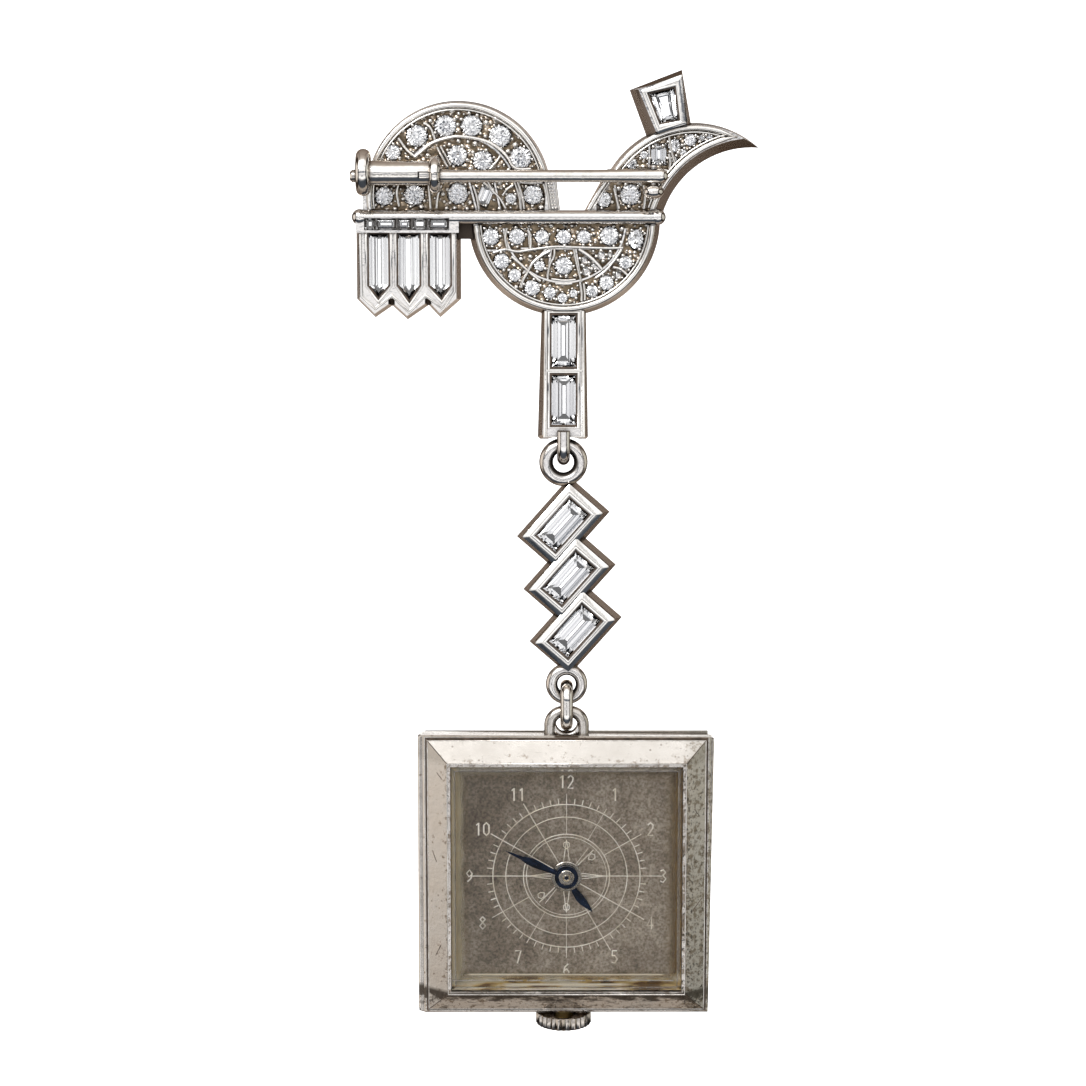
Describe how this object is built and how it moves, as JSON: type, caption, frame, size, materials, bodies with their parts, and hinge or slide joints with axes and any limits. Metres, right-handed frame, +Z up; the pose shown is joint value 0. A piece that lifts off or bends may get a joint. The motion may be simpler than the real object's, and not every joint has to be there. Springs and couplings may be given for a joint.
{
  "type": "lapel watch",
  "caption": "Gem-set brooch with pin and catch from which a link of stepped lozenges hangs a small square watch, worn on a lapel.",
  "frame": {"origin": "middle of the pin stem's axis, where the jewel pins on", "axes": "+Z up along the hanging drop, the viewer's side faces -Y, +X to the viewer's right"},
  "size_m": [0.0289, 0.0065, 0.0699],
  "materials": {
    "platinum": "polished platinum with tarnish in the recesses",
    "pin_metal": "polished white gold",
    "case_metal": "worn white gold, fine scratches",
    "stones": "cut diamond",
    "crystal": "flat bevelled crystal, yellowed cement at the edges",
    "dial": "aged satin silvered dial",
    "movement": "gilt",
    "stem_steel": "plain steel",
    "hands": "dark blued steel"
  },
  "bodies": {
    "brooch": {"frame": "platinum", "round_stones": "stones", "fan_stones": "stones", "crescent_stones": "stones", "channel_stones": "stones", "arrow_stone_a": "stones", "arrow_stone_b": "stones", "arrow_stone_c": "stones", "taper_stone": "stones", "bar_stone_a": "stones", "bar_stone_b": "stones"},
    "pin": {"pin_stem": "pin_metal"},
    "sleeve": {"catch_sleeve": "pin_metal"},
    "lozenge_link": {"link": "platinum", "link_stone_a": "stones", "link_stone_b": "stones", "link_stone_c": "stones"},
    "oval_link": {"connector": "platinum"},
    "watch": {"case": "case_metal", "bezel": "case_metal", "crystal": "crystal", "dial": "dial", "movement": "movement", "case_back": "case_metal"},
    "minute": {"minute_hand": "hands"},
    "hour": {"hour_hand": "hands"},
    "stem": {"crown_stem": "stem_steel"},
    "crown": {"crown": "case_metal"}
  },
  "joints": [
    {"name": "pin_swing", "type": "hinge", "parent": "brooch", "child": "pin", "pos_m": [0.00695, 0, 0], "axis": [0, 0, 1], "range_deg": [0, 80]},
    {"name": "catch_slide", "type": "slide", "parent": "brooch", "child": "sleeve", "axis": [1, 0, 0], "range_m": [0, 0.00045]},
    {"name": "link_swing", "type": "hinge", "parent": "brooch", "child": "lozenge_link", "pos_m": [0.0007, 0.0024, -0.02023], "axis": [0, 1, 0], "range_deg": [-25, 25]},
    {"name": "oval_swing", "type": "hinge", "parent": "lozenge_link", "child": "oval_link", "pos_m": [0.00095, 0.0024, -0.03786], "axis": [1, 0, 0], "range_deg": [-25, 25]},
    {"name": "watch_swing", "type": "hinge", "parent": "oval_link", "child": "watch", "pos_m": [0.00095, 0.0024, -0.03976], "axis": [0, 1, 0], "range_deg": [-20, 20]},
    {"name": "minute_turn", "type": "hinge", "parent": "watch", "child": "minute", "pos_m": [0.00095, 0.00121, -0.05092], "axis": [0, 1, 0], "continuous": true},
    {"name": "hour_turn", "type": "hinge", "parent": "watch", "child": "hour", "pos_m": [0.00095, 0.0015, -0.05092], "axis": [0, 1, 0], "continuous": true},
    {"name": "crown_pull", "type": "slide", "parent": "watch", "child": "stem", "axis": [0, 0, -1], "range_m": [0, 0.0006]},
    {"name": "crown_turn", "type": "hinge", "parent": "stem", "child": "crown", "pos_m": [0.00075, 0.0024, -0.062], "axis": [0, 0, 1], "continuous": true}
  ],
  "couplings": [
    {"joint": "hour_turn", "follows": "minute_turn", "ratio": 0.083333}
  ]
}
